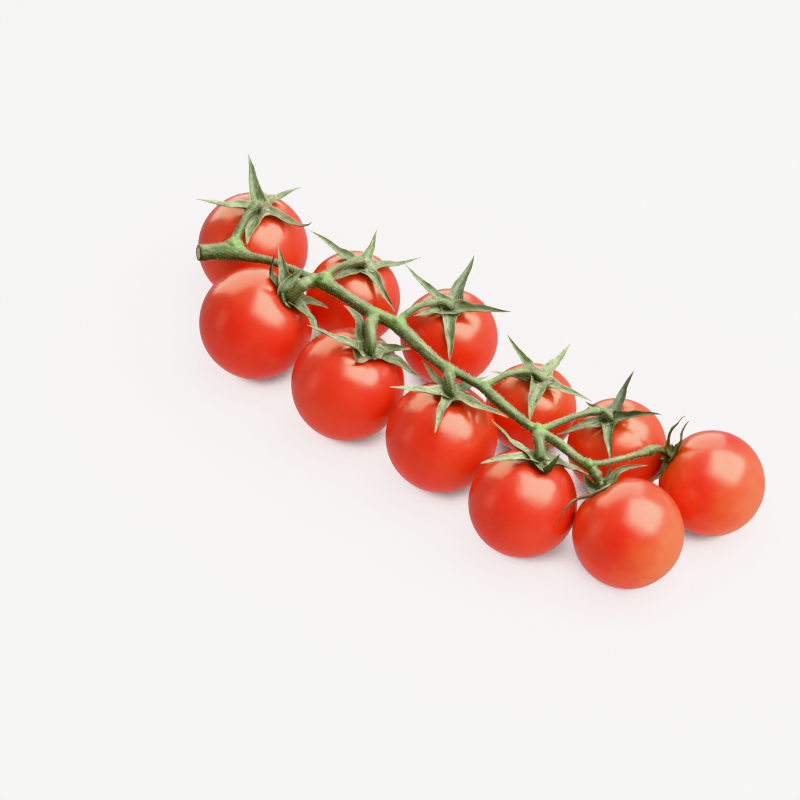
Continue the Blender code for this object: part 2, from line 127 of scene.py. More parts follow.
# per leaf: a factor on the brightness of its colour (below 1 darker, above 1 lighter), partly painted light and shade,
# and how far the leaf is drying
TONE = {(2, 0): (0.50, 0.0), (2, 1): (0.95, 0.0), (1, 2): (0.90, 0.25), (4, 4): (0.80, 0.45), (4, 1): (0.80, 0.0), (8, 2): (1.10, 0.0), (5, 1): (0.66, 0.0), (5, 2): (0.80, 0.0),
        (9, 0): (0.27, 0.0), (9, 1): (0.56, 0.0), (9, 2): (0.80, 0.0), (9, 3): (0.88, 0.0), (7, 3): (0.86, 0.0), (10, 1): (0.60, 0.75), (10, 2): (0.50, 0.0), (10, 3): (0.55, 0.0),
        (11, 0): (1.50, 0.0), (11, 1): (1.60, 0.0), (11, 2): (0.80, 0.0), (7, 4): (0.8, 0.0), (6, 0): (0.85, 0.0)}
CLEAR = 0.62
CLEAR_STEM = 0.35


def unit(v):
    v = np.asarray(v, float)
    return v / np.linalg.norm(v)


# the front three-quarter direction: right, up and towards the viewer
AZ, EL = math.radians(39), math.radians(42)
RIGHT = np.array((math.cos(AZ), math.sin(AZ), 0))
BACK = np.array((math.sin(AZ) * math.cos(EL), -math.cos(AZ) * math.cos(EL), math.sin(EL)))
UPV = np.cross(BACK, RIGHT)


def centre(k):
    x, y, d, _, _ = FRUITS[k]
    return np.array((x, y, d / 2 - SEAT))


def axis(k):
    _, _, _, t, h = FRUITS[k]
    t, h = math.radians(t), math.radians(h)
    return np.array((math.sin(t) * math.cos(h), math.sin(t) * math.sin(h), math.cos(t)))


def upright_to(k):
    n = axis(k)
    v = np.array((-n[1], n[0], 0.0))
    s = np.linalg.norm(v)
    if s < 1e-9:
        return np.eye(3)
    v /= s
    kx = np.array(((0, -v[2], v[1]), (v[2], 0, -v[0]), (-v[1], v[0], 0)))
    return np.eye(3) + s * kx + (1 - n[2]) * kx @ kx


def skin_radius(k, theta):
    return FRUITS[k][2] / 2 * (1 - DIMPLE * np.exp(-(theta / DIMPLE_SPREAD) ** 2))


def ring_seat(k):
    return centre(k) + axis(k) * (FRUITS[k][2] / 2 * (1 - DIMPLE) + HUB_RISE)


def spline(points, step):
    out, n = [], len(points)
    for i in range(n - 1):
        p0, p1, p2, p3 = (np.array(points[j], float) for j in (max(i - 1, 0), i, i + 1, min(i + 2, n - 1)))
        parts = max(1, round(np.linalg.norm((p2 - p1)[:3]) / step))
        for j in range(parts):
            t = j / parts
            out.append(0.5 * (2 * p1 + (p2 - p0) * t + (2 * p0 - 5 * p1 + 4 * p2 - p3) * t * t
                              + (3 * p1 - p0 - 3 * p2 + p3) * t ** 3))
    out.append(np.array(points[-1], float))
    return np.array(out)


def mesh_piece(name, verts, faces, smooth=True, attrs=None):
    """Object from layout coordinates in mm."""
    me = bpy.data.meshes.new(name)
    me.from_pydata(((np.asarray(verts) - ORIGIN) * MM).tolist(), [], [tuple(int(i) for i in f) for f in faces])
    for key, vals in (attrs or {}).items():
        vals = np.asarray(vals, float)
        if vals.ndim == 1:
            a = me.attributes.new(key, "FLOAT", "POINT")
            a.data.foreach_set("value", vals)
        else:
            a = me.attributes.new(key, "FLOAT_COLOR", "POINT")
            a.data.foreach_set("color", np.concatenate([vals, np.ones((len(vals), 4 - vals.shape[1]))], 1).ravel())
    if smooth:
        me.shade_smooth()
    me.validate()
    ob = bpy.data.objects.new(name, me)
    scene.collection.objects.link(ob)
    return ob


def fbm(p, scale, seed, octaves=3):
    """Smooth noise, about -1 to 1, for each row of p."""
    off = Vector((seed * 7.31, seed * 3.17, seed * 1.93))
    return np.array([noise.fractal(Vector(q) * scale + off, 0.6, 2.0, octaves) for q in p])


# ---------------------------------------------------------------- node helpers
def new_material(name):
    m = bpy.data.materials.new(name)
    m.use_nodes = True
    nt = m.node_tree
    nt.nodes.clear()
    out = nt.nodes.new("ShaderNodeOutputMaterial")
    bsdf = nt.nodes.new("ShaderNodeBsdfPrincipled")
    nt.links.new(bsdf.outputs[0], out.inputs[0])
    return m, nt, bsdf


def node(nt, kind, **settings):
    n = nt.nodes.new(kind)
    for key, val in settings.items():
        if hasattr(n, key) and key not in n.inputs:
            setattr(n, key, val)
        else:
            n.inputs[key].default_value = val
    return n


def link(nt, a, b):
    nt.links.new(a, b)


def ramp(nt, fac, stops, interp="LINEAR"):
    r = nt.nodes.new("ShaderNodeValToRGB")
    r.color_ramp.interpolation = interp
    els = r.color_ramp.elements
    while len(els) < len(stops):
        els.new(0.5)
    for e, (pos, col) in zip(els, stops):
        e.position = pos
        e.color = (*col, 1) if len(col) == 3 else col
    nt.links.new(fac, r.inputs[0])
    return r.outputs[0]


def mix(nt, fac, a, b, blend="MIX"):
    m = nt.nodes.new("ShaderNodeMix")
    m.data_type = "RGBA"
    m.blend_type = blend
    for sock, val in ((m.inputs[0], fac), (m.inputs[6], a), (m.inputs[7], b)):
        if hasattr(val, "links"):
            nt.links.new(val, sock)
        elif isinstance(val, (int, float)):
            sock.default_value = val
        else:
            sock.default_value = (*val, 1)
    return m.outputs[2]


def maths(nt, op, a, b=0.0, clamp=False):
    m = nt.nodes.new("ShaderNodeMath")
    m.operation = op
    m.use_clamp = clamp
    for sock, val in ((m.inputs[0], a), (m.inputs[1], b)):
        if hasattr(val, "links"):
            nt.links.new(val, sock)
        else:
            sock.default_value = val
    return m.outputs[0]


def object_noise(nt, scale, detail=3.0, rough=0.55, distort=0.0):
    tc = nt.nodes.new("ShaderNodeTexCoord")
    n = node(nt, "ShaderNodeTexNoise", Scale=scale, Detail=detail, Roughness=rough, Distortion=distort)
    nt.links.new(tc.outputs["Object"], n.inputs["Vector"])
    return n.outputs["Fac"]


def separated(nt, name):
    a = node(nt, "ShaderNodeAttribute", attribute_name=name)
    s = nt.nodes.new("ShaderNodeSeparateColor")
    nt.links.new(a.outputs["Color"], s.inputs[0])
    return s.outputs


# ---------------------------------------------------------------- tomato skin
def skin_material():
    m, nt, b = new_material("tomato_skin")
    flush, painted_dimple_shade, scar = separated(nt, "tone")[:3]
    big = object_noise(nt, 70.0, 2.0)
    small = object_noise(nt, 1100.0, 2.0)
    red = ramp(nt, big, [(0.30, (0.76, 0.038, 0.029)), (0.52, (0.81, 0.051, 0.038)), (0.75, (0.84, 0.068, 0.046))])
    col = mix(nt, flush, red, (0.84, 0.225, 0.078))
    # light flecks in the skin
    fleck = ramp(nt, small, [(0.60, (0, 0, 0)), (0.74, (1, 1, 1))])
    fleck_bw = nt.nodes.new("ShaderNodeRGBToBW")
    link(nt, fleck, fleck_bw.inputs[0])
    col = mix(nt, maths(nt, "MULTIPLY", fleck_bw.outputs[0], 0.05), col, (0.95, 0.20, 0.08))
    # painted shade: a dark ring in the stem dimple under the calyx; and the corky dot at the other end
    col = mix(nt, painted_dimple_shade, col, (0.20, 0.020, 0.008))
    col = mix(nt, scar, col, (0.14, 0.075, 0.03))
    link(nt, col, b.inputs["Base Color"])
    rough = maths(nt, "MULTIPLY_ADD", object_noise(nt, 220.0, 3.0), 0.10)
    rough.node.inputs[2].default_value = 0.20
    link(nt, rough, b.inputs["Roughness"])
    b.inputs["IOR"].default_value = 1.66
    b.inputs["Specular Tint"].default_value = (0.98, 1.0, 0.68, 1)
    b.inputs["Subsurface Weight"].default_value = 0.15
    b.inputs["Subsurface Radius"].default_value = (1.0, 0.20, 0.08)
    b.inputs["Subsurface Scale"].default_value = 0.003
    bump = node(nt, "ShaderNodeBump", Strength=0.04, Distance=0.0003)
    link(nt, object_noise(nt, 1500.0, 2.0), bump.inputs["Height"])
    link(nt, bump.outputs[0], b.inputs["Normal"])
    return m


# orange round the stem end, orange on one side, and that side as seen from the front (right, up)
FLUSH = {1: (0.10, 0.14, 0.9, 0.2), 2: (0.10, 0.05, 0.3, 0.9), 3: (0.10, 0.16, 0.9, 0.3), 4: (0.08, 0.06, 0.2, -0.9),
         5: (0.10, 0.12, 0.8, 0.4), 6: (0.10, 0.14, 0.9, -0.2), 7: (0.14, 0.28, 0.8, 0.5), 8: (0.10, 0.08, 0.6, -0.8),
         9: (0.16, 0.30, 0.5, 0.7), 10: (0.20, 0.78, 0.9, -0.2), 11: (0.25, 0.72, 0.85, -0.4)}
# narrowing towards the far end, and flattening
SHAPE = {1: (0.00, 0.0), 2: (0.00, 0.0), 3: (0.0, 0.0), 4: (0.005, 0.0), 5: (0.0, 0.0), 6: (0.01, 0.0), 7: (0.0, 0.0),
         8: (0.045, -0.01), 9: (0.0, 0.0), 10: (0.02, -0.01), 11: (0.0, 0.0)}
# a shade plumper than a true ball of that width, and pushed to the left (mm)
PLUMP = {2: (1.016, 0.30), 10: (1.022, 0.15), 11: (1.014, 0.20)}


SKINS = {}


def fruit_piece(k, mat):
    rng = np.random.RandomState(40 + k)
    nt_, np_ = 64, 112
    s = np.arange(1, nt_) / nt_
    th = math.pi * (0.62 * s + 0.38 * s * s)
    ph = np.arange(np_) * 2 * math.pi / np_
    T, P = np.meshgrid(th, ph, indexing="ij")
    T = np.concatenate([[0.0], T.ravel(), [math.pi]])
    P = np.concatenate([[0.0], P.ravel(), [0.0]])
    plump, left = PLUMP.get(k, (1.0, 0.0))
    R = FRUITS[k][2] / 2 * plump
    lob = sum(rng.uniform(0.4, 1.0) / m * np.cos(m * P + rng.uniform(0, 6.28)) for m in (2, 3, 4, 5))
    crease = np.zeros(len(P))
    for _ in range(5):
        a0, w, dep = rng.uniform(0, 2 * math.pi), rng.uniform(0.10, 0.20), rng.uniform(0.4, 1.0)
        dp = (P - a0 + math.pi) % (2 * math.pi) - math.pi
        crease += dep * np.exp(-(dp / (w + 0.10 * np.clip(0.6 - T, 0, 1))) ** 2)
    r = 1 - DIMPLE * np.exp(-(T / DIMPLE_SPREAD) ** 2)
    r += 0.0135 * lob * np.exp(-((T - 0.50) / 0.36) ** 2)
    r -= 0.015 * crease * np.exp(-((T - 0.36) / 0.18) ** 2)
    r -= 0.018 * np.exp(-((math.pi - T) / 0.16) ** 2)
    r += rng.uniform(-0.006, 0.003) * np.cos(2 * T)
    slim, flat = SHAPE[k]
    d = np.stack([np.sin(T) * np.cos(P), np.sin(T) * np.sin(P), np.cos(T)], 1)
    r += 0.005 * fbm(d, 1.1, k, 2)
    M = upright_to(k)
    pts = (d * (R * r)[:, None]) @ M.T
    down = -pts[:, 2] / R
    pts[:, :2] *= (1 - slim * np.clip(down, 0, 1) ** 2 + flat * np.exp(-(down / 0.5) ** 2))[:, None]
    pts += centre(k) + np.array((0, 0, R * (1 - 1 / plump))) - RIGHT * left
    z = pts[:, 2]
    z = (z + np.sqrt(z * z + 0.10)) / 2
    pts[:, 2] = np.where(pts[:, 2] < 4, z, pts[:, 2])
    pts[:, 2] -= pts[:, 2].min()
    faces = []
    last = 1 + (nt_ - 2) * np_
    for j in range(np_):
        j2 = (j + 1) % np_
        faces.append((0, 1 + j, 1 + j2))
        faces.append((last + j, len(T) - 1, last + j2))
    for i in range(nt_ - 2):
        a = 1 + i * np_
        for j in range(np_):
            j2 = (j + 1) % np_
            faces.append((a + j, a + np_ + j, a + np_ + j2, a + j2))
    SKINS[k] = BVHTree.FromPolygons(pts.tolist(), faces)
    shoulder, side, sx, sy = FLUSH[k]
    wob = fbm(d, 1.6, 20 + k, 3)
    toward = unit(RIGHT * sx + UPV * sy + BACK * 0.25)
    facing = (d @ M.T) @ toward
    flush = shoulder * np.clip(1.3 * np.exp(-(T / 0.95) ** 2) + 0.35 * wob * np.exp(-(T / 1.4) ** 2), 0, 1)
    flush += side * np.clip((facing + 0.15 + 0.25 * wob) / 1.0, 0, 1) ** 1.5
    # painted shade in the stem dimple under the calyx
    painted_dimple_shade = 0.75 * np.exp(-(T / 0.17) ** 4)
    scar = np.clip(1.3 * np.exp(-((math.pi - T) / 0.045) ** 4), 0, 1)
    ob = mesh_piece("tomato_%02d_skin" % k, pts, faces, attrs={"tone": np.stack([np.clip(flush, 0, 1), painted_dimple_shade, scar], 1)})
    ob.data.materials.append(mat)
    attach(ob, "root")
    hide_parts("tomato_%02d" % k)
    return ob


# ---------------------------------------------------------------- stems
def tube_arrays(st, sides, round_start=True, round_end=True, ridge=None, slant=None):
    """Tube through stations (x, y, z, diameter); ends closed, domed if asked."""
    st = np.asarray(st, float)
    if round_end:
        t = unit(st[-1, :3] - st[-2, :3])
        r = st[-1, 3] / 2
        st = np.concatenate([st, [(*(st[-1, :3] + t * r * a), 2 * r * b) for a, b in ((0.18, 0.93), (0.34, 0.76), (0.44, 0.5), (0.5, 0.2))]])
    if round_start:
        t = unit(st[0, :3] - st[1, :3])
        r = st[0, 3] / 2
        st = np.concatenate([[(*(st[0, :3] + t * r * a), 2 * r * b) for a, b in ((0.5, 0.2), (0.44, 0.5), (0.34, 0.76), (0.18, 0.93))], st])
    P = st[:, :3]
    V, F = [], []
    side = None
    for i, p in enumerate(P):
        t = unit(P[min(i + 1, len(P) - 1)] - P[max(i - 1, 0)])
        if side is None:
            side = unit(np.cross(t, (0.3, 0.2, 1.0)))
        side = unit(side - t * side.dot(t))
        other = np.cross(t, side)
        a = 2 * math.pi * np.arange(sides) / sides
        r = st[i, 3] / 2 * (1 + (0 if ridge is None else ridge(a, i)))
        V.append(p + (np.outer(np.cos(a) * r, side) + np.outer(np.sin(a) * r, other)))
    if slant is not None:
        go = unit(P[1] - P[0])
        V[0] = V[0] + np.outer((V[0] - P[0]) @ slant, go)
    V = np.concatenate(V)
    n = len(P)
    for i in range(n - 1):
        for j in range(sides):
            j2 = (j + 1) % sides
            F.append((i * sides + j, i * sides + j2, (i + 1) * sides + j2, (i + 1) * sides + j))
    F.append(tuple(range(sides))[::-1])
    F.append(tuple((n - 1) * sides + j for j in range(sides)))
    return V, F


def ball_arrays(c, radii, dirs=None, n=14):
    """Swelling: an ellipsoid, radii along dirs' rows."""
    dirs = np.eye(3) if dirs is None else dirs
    V, F = [], []
    for i in range(1, n):
        t = math.pi * i / n
        for j in range(2 * n):
            p = math.pi * j / n
            V.append((math.sin(t) * math.cos(p), math.sin(t) * math.sin(p), math.cos(t)))
    V.append((0, 0, 1)); V.append((0, 0, -1))
    m = 2 * n
    for i in range(n - 2):
        for j in range(m):
            j2 = (j + 1) % m
            F.append((i * m + j, (i + 1) * m + j, (i + 1) * m + j2, i * m + j2))
    top, bot = len(V) - 2, len(V) - 1
    for j in range(m):
        j2 = (j + 1) % m
        F.append((top, j, j2))
        F.append((bot, (n - 2) * m + j2, (n - 2) * m + j))
    V = np.array(V) * np.array(radii)
    return np.array(c) + V @ dirs, F


def joined(parts):
    V, F, off = [], [], 0
    for v, f in parts:
        V.append(v)
        F += [tuple(i + off for i in face) for face in f]
        off += len(v)
    return np.concatenate(V), F


def remeshed(name, V, F, voxel, smooth_steps=4):
    """One blended skin over overlapping solids; returns vertices in layout mm, and quads."""
    tmp = mesh_piece(name + "_raw", V, F)
    mod = tmp.modifiers.new("r", "REMESH")
    mod.mode = "VOXEL"
    mod.voxel_size = voxel * MM
    mod.adaptivity = 0.0
    sm = tmp.modifiers.new("s", "SMOOTH")
    sm.factor = 0.5
    sm.iterations = smooth_steps
    bpy.context.view_layer.update()
    me = bpy.data.meshes.new_from_object(tmp.evaluated_get(bpy.context.evaluated_depsgraph_get()))
    v = np.empty(len(me.vertices) * 3)
    me.vertices.foreach_get("co", v)
    v = v.reshape(-1, 3) / MM + ORIGIN
    nrm = np.empty(len(me.vertices) * 3)
    me.vertices.foreach_get("normal", nrm)
    faces = [tuple(p.vertices) for p in me.polygons]
    raw = tmp.data
    bpy.data.objects.remove(tmp)
    bpy.data.meshes.remove(raw)
    bpy.data.meshes.remove(me)
    return v, faces, nrm.reshape(-1, 3)


def nearest_on(paths, P):
    """For each point: which path sample is nearest, its distance, and the angle round that path."""
    C, Tn, S, A, B, R, L = [], [], [], [], [], [], []
    for pi, st in enumerate(paths):
        side = None
        s = 0.0
        for i in range(len(st)):
            t = unit(st[min(i + 1, len(st) - 1), :3] - st[max(i - 1, 0), :3])
            if side is None:
                side = unit(np.cross(t, (0.3, 0.2, 1.0)))
            side = unit(side - t * side.dot(t))
            if i:
                s += np.linalg.norm(st[i, :3] - st[i - 1, :3])
            C.append(st[i, :3]); Tn.append(t); A.append(side); B.append(np.cross(t, side)); R.append(st[i, 3] / 2); L.append(s); S.append(pi)
    C, Tn, A, B, R, L, S = (np.array(x) for x in (C, Tn, A, B, R, L, S))
    best = np.full(len(P), 1e9)
    idx = np.zeros(len(P), int)
    for lo in range(0, len(P), 8000):
        q = P[lo:lo + 8000]
        d2 = ((q[:, None, :] - C[None]) ** 2).sum(2)
        d = np.sqrt(d2) - R[None] * 0.9
        idx[lo:lo + 8000] = d.argmin(1)
    v = P - C[idx]
    ang = np.arctan2((v * B[idx]).sum(1), (v * A[idx]).sum(1))
    along = L[idx] + (v * Tn[idx]).sum(1)
    return S[idx], along, ang, np.linalg.norm(v, axis=1), R[idx]


# swollen forks: place, radius, and how fresh a green
SWELL = [((-66.2, 8.3, 28.9), 2.55, 1.0), ((-35.6, 11.3, 30.6), 2.3, 1.0), ((-38.6, 9.6, 29.8), 2.0, 0.3), ((-14.2, 6.6, 31.9), 2.1, 0.5),
         ((-7.0, 8.0, 32.2), 2.2, 0.75), ((13.9, 2.7, 31.3), 1.75, 0.5), ((24.8, 4.2, 30.3), 1.55, 0.5), ((44.9, 0.6, 29.4), 1.7, 0.9),
         ((61.5, -0.4, 27.8), 1.55, 0.4)]


def knuckled(st, at_end=True, start=False):
    """Adds the swelling either side of a pedicel's knuckle."""
    st = st.copy()
    d = np.concatenate([[0], np.cumsum(np.linalg.norm(np.diff(st[:, :3], axis=0), axis=1))])
    if at_end:
        e = d[-1] - d
        st[:, 3] *= 1 + 0.16 * np.exp(-((e - 0.7) / 0.8) ** 2)
    if start:
        st[:, 3] *= 1 + 0.18 * np.exp(-((d - 0.7) / 0.8) ** 2)
    return st


def stem_paths():
    main = spline(STEM, 0.7)
    gone = np.concatenate([[0], np.cumsum(np.linalg.norm(np.diff(main[:, :3], axis=0), axis=1))])
    main[:, 3] *= 0.94 + 0.12 * np.exp(-(gone / 7.0) ** 2)
    peds = {k: knuckled(spline(p, 0.6)) for k, p in PEDICEL_IN.items()}
    for k, run in peds.items():
        run[:, 3] *= {1: 1.0, 11: 0.80}.get(k, 0.89)
    return main, peds


# painted light and shade: faces turned towards this direction are painted lighter, faces turned away darker
PAINTED_LIGHT_DIR = unit(UPV * 0.80 + RIGHT * 0.38 + BACK * 0.30)


def painted_light_facing(nrm):
    n = nrm / np.maximum(np.linalg.norm(nrm, axis=1), 1e-9)[:, None]
    return 0.5 + 0.5 * (n @ PAINTED_LIGHT_DIR)


def hairs(v, nrm, count, rng, low, high, keep=None):
    """Short fine hairs: three-sided cones rooted just under the skin."""
    pool = np.arange(len(v)) if keep is None else np.nonzero(keep)[0]
    pick = rng.choice(pool, count, replace=len(pool) < count)
    n = nrm[pick] / np.maximum(np.linalg.norm(nrm[pick], axis=1), 1e-9)[:, None]
    n = n + rng.normal(0, 0.35, (count, 3))
    n /= np.linalg.norm(n, axis=1)[:, None]
    a = np.cross(n, (0.3, 0.5, 0.8))
    a /= np.linalg.norm(a, axis=1)[:, None]
    b = np.cross(n, a)
    root = v[pick] - n * 0.08
    length = rng.uniform(low, high, count)[:, None]
    rad_ = 0.038
    bend = rng.normal(0, 0.12, (count, 3)) * length
    V = np.empty((count, 4, 3))
    for j in range(3):
        t = 2 * math.pi * j / 3
        V[:, j] = root + a * (rad_ * math.cos(t)) + b * (rad_ * math.sin(t))
    V[:, 3] = root + n * length + bend
    F = []
    for i in range(count):
        o = 4 * i
        F += [(o, o + 1, o + 3), (o + 1, o + 2, o + 3), (o + 2, o, o + 3), (o + 2, o + 1, o)]
    return V.reshape(-1, 3), F


CUT = np.array(STEM[0][:3])
STEM_GO = unit(np.array(STEM[1][:3]) - CUT)
CUT_TILT = 0.30 * unit(BACK - STEM_GO * BACK.dot(STEM_GO))


def stem_piece(mat):
    main, peds = stem_paths()
    parts = [tube_arrays(main, 32, round_start=False, slant=CUT_TILT)]
    parts += [tube_arrays(p, 20) for p in peds.values()]
    parts += [ball_arrays(c, (r, r, r)) for c, r, _ in SWELL]
    V, F = joined(parts)
    v, faces, nrm = remeshed("rachis", V, F, 0.21, 4)
    which, along, ang, dist, rad_ = nearest_on([main] + list(peds.values()), v)
    # long ridges and slight lumps
    n1 = fbm(np.stack([along * 0.22, np.cos(ang) * 1.3, np.sin(ang) * 1.3 + which * 5], 1), 1.0, 3, 3)
    n2 = fbm(v, 0.55, 5, 3)
    ridge = 0.5 + 0.5 * np.cos(5 * ang + 1.8 * n1 + 0.10 * along)
    scale = np.clip(rad_ / 1.8, 0.4, 1.3)
    face_n = unit(STEM_GO - CUT_TILT)
    plane = (v - CUT) @ face_n
    cutd = np.linalg.norm(v - CUT - np.outer((v - CUT) @ STEM_GO, STEM_GO), axis=1)
    body = np.clip(plane / 1.0, 0, 1)
    v = v + nrm * (((0.17 * (ridge - 0.5) + 0.12 * n1 + 0.12 * n2) * scale) * body)[:, None]
    # the cut face: a slight hollow inside a rim
    near = np.linalg.norm(v - CUT, axis=1) < 4.5
    fr = np.clip(cutd / 2.15, 0, 1)
    face = (plane < 0.22) & near
    v[face] += STEM_GO * (0.45 * (1 - fr[face] ** 3))[:, None]
    knuck = np.zeros(len(v))
    for c, r, fresh in SWELL:
        dd = np.linalg.norm(v - np.array(c), axis=1)
        knuck = np.maximum(knuck, fresh * np.exp(-((dd - r * 0.7).clip(0) / 1.5) ** 2))
    cut = np.where(face, 1.0, 0.0) * np.clip((0.93 - fr) / 0.16, 0, 1)
    browned = np.exp(-(np.clip(plane + 0.35 * n2, 0, None) / 0.62) ** 2) * near
    rng = np.random.RandomState(7)
    hv, hf = hairs(v, nrm, 9000, rng, 0.24, 0.85, plane > 0.6)
    n = len(v)
    allv = np.concatenate([v, hv])
    faces = faces + [tuple(i + n for i in f) for f in hf]
    zero = np.zeros(len(hv))
    # the sky attribute is painted light and shade by which way each face turns; the hairs get a fixed middling value
    ob = mesh_piece("rachis_skin", allv, faces, attrs={
        "stem": np.stack([np.concatenate([knuck, zero]), np.concatenate([cut, zero]), np.concatenate([browned, zero])], 1),
        "hair": np.concatenate([np.zeros(n), np.ones(len(hv))]),
        "painted_light": np.concatenate([painted_light_facing(nrm), np.full(len(hv), 0.7)]),
        "grain": np.concatenate([np.stack([along * 0.08, ang * rad_ * 0.55, which * 3.0], 1), np.zeros((len(hv), 3))])})
    ob.data.materials.append(mat)
    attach(ob, "root")
    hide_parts("rachis")
    return ob


def grain_noise(nt, scale, detail=3.0, rough=0.6):
    """Noise drawn out along the piece's own length."""
    a = node(nt, "ShaderNodeAttribute", attribute_name="grain")
    n = node(nt, "ShaderNodeTexNoise", Scale=scale, Detail=detail, Roughness=rough)
    link(nt, a.outputs["Vector"], n.inputs["Vector"])
    return n.outputs["Fac"]


def green_finish(nt, b, bump_scale, strength):
    b.inputs["Roughness"].default_value = 0.55
    b.inputs["IOR"].default_value = 1.42
    b.inputs["Subsurface Weight"].default_value = 0.08
    b.inputs["Subsurface Radius"].default_value = (0.6, 1.0, 0.3)
    b.inputs["Subsurface Scale"].default_value = 0.0007
    b.inputs["Sheen Weight"].default_value = 0.34
    b.inputs["Sheen Roughness"].default_value = 0.30
    b.inputs["Sheen Tint"].default_value = (1.0, 0.93, 0.80, 1)
    bump = node(nt, "ShaderNodeBump", Strength=strength, Distance=0.0002)
    link(nt, object_noise(nt, bump_scale, 4.0, 0.65), bump.inputs["Height"])
    link(nt, bump.outputs[0], b.inputs["Normal"])


def stem_material(name="stem_skin"):
    m, nt, b = new_material(name)
    knuck, cut, brown = separated(nt, "stem")[:3]
    hair = node(nt, "ShaderNodeAttribute", attribute_name="hair").outputs["Fac"]
    broad = object_noise(nt, 160.0, 4.0, 0.6)
    fine = object_noise(nt, 2000.0, 3.0, 0.65)
    streak = grain_noise(nt, 2.2, 4.0)
    col = ramp(nt, broad, [(0.28, (0.140, 0.190, 0.072)), (0.5, (0.185, 0.240, 0.102)), (0.72, (0.255, 0.305, 0.150))])
    lines = ramp(nt, streak, [(0.34, (0.52, 0.55, 0.50)), (0.50, (1, 1, 1)), (0.68, (1.42, 1.38, 1.38))])
    col = mix(nt, 0.8, col, lines, "MULTIPLY")
    col = mix(nt, knuck, col, (0.225, 0.385, 0.100))
    speck = ramp(nt, fine, [(0.36, (0.42, 0.43, 0.40)), (0.48, (1, 1, 1)), (0.68, (1.40, 1.38, 1.34))])
    col = mix(nt, 0.7, col, speck, "MULTIPLY")
    # painted light and shade: the green is lightened on faces turned to the light and darkened on faces turned away
    painted_light = node(nt, "ShaderNodeAttribute", attribute_name="painted_light").outputs["Fac"]
    col = mix(nt, 1.0, col, ramp(nt, painted_light, [(0.10, (0.20, 0.22, 0.17)), (0.45, (0.50, 0.52, 0.44)), (0.72, (0.94, 0.95, 0.92)), (0.95, (1.38, 1.33, 1.36))]), "MULTIPLY")
    col = mix(nt, brown, col, (0.045, 0.028, 0.012))
    pith = ramp(nt, object_noise(nt, 1500.0, 2.0), [(0.35, (0.34, 0.26, 0.09)), (0.65, (0.66, 0.58, 0.30))])
    col = mix(nt, cut, col, pith)
    col = mix(nt, hair, col, (0.62, 0.58, 0.44))
    link(nt, col, b.inputs["Base Color"])
    green_finish(nt, b, 1800.0, 0.35)
    return m


# ---------------------------------------------------------------- calyxes
def kept_clear(P, own, s, half):
    """Moves points out of the fruits and off the stems."""
    P = P.copy()
    for k in FRUITS:
        c = centre(k)
        v = P - c
        d = np.linalg.norm(v, axis=1)
        if k == own:
            skin = skin_radius(k, np.arccos(np.clip(v @ axis(k) / d, -1, 1)))
        else:
            skin = np.full(len(P), FRUITS[k][2] / 2)
        m = d < skin + CLEAR
        P[m] = c + v[m] / d[m][:, None] * (skin[m] + CLEAR)[:, None]
    runs = [(STEM, s > 0.1)] + [(run, s > (0.25 if k == own else -1)) for k, run in PEDICEL_IN.items()]
    for run, allowed in runs:
        for a, b in zip(run[:-1], run[1:]):
            pa, pb = np.array(a[:3]), np.array(b[:3])
            t = np.clip((P - pa) @ (pb - pa) / ((pb - pa) @ (pb - pa)), 0, 1)
            near = pa + np.outer(t, pb - pa)
            keep = (a[3] + (b[3] - a[3]) * t) / 2 + CLEAR_STEM + 0.6 * half
            v = P - near
            d = np.linalg.norm(v, axis=1)
            m = allowed & (d < keep)
            P[m] = near[m] + v[m] / d[m][:, None] * keep[m][:, None]
    return P


def laid_on(P, under, own):
    """Leaf points that would dip into a fruit come to lie on its skin."""
    P = P.copy()
    for k, skin in SKINS.items():
        c = centre(k)
        if np.linalg.norm(c - centre(own)) > 45:
            continue
        reach = FRUITS[k][2] / 2 + 1.0
        for i in np.nonzero(np.linalg.norm(P - c, axis=1) < reach)[0]:
            spot, n, _, _ = skin.find_nearest(Vector(P[i]), 4.0)
            if spot is None:
                continue
            spot, n = np.array(spot), np.array(n)
            if n.dot(spot - c) < 0:
                n = -n
            want = 0.05 + 0.13 * (1 - under[i])
            if (P[i] - spot).dot(n) < want:
                P[i] = spot + n * want
    return P


def half_width(width, s):
    """Broad foot that runs into its neighbours, then a straight taper to a fine point."""
    s = np.asarray(s, float)
    return width / 2 * (1.28 * np.clip(1 - s, 0, 1) ** 0.88 + 0.34 * np.exp(-(s / 0.10) ** 2)) * (1 - 0.25 * np.exp(-(s / 0.03) ** 2)) + 0.045


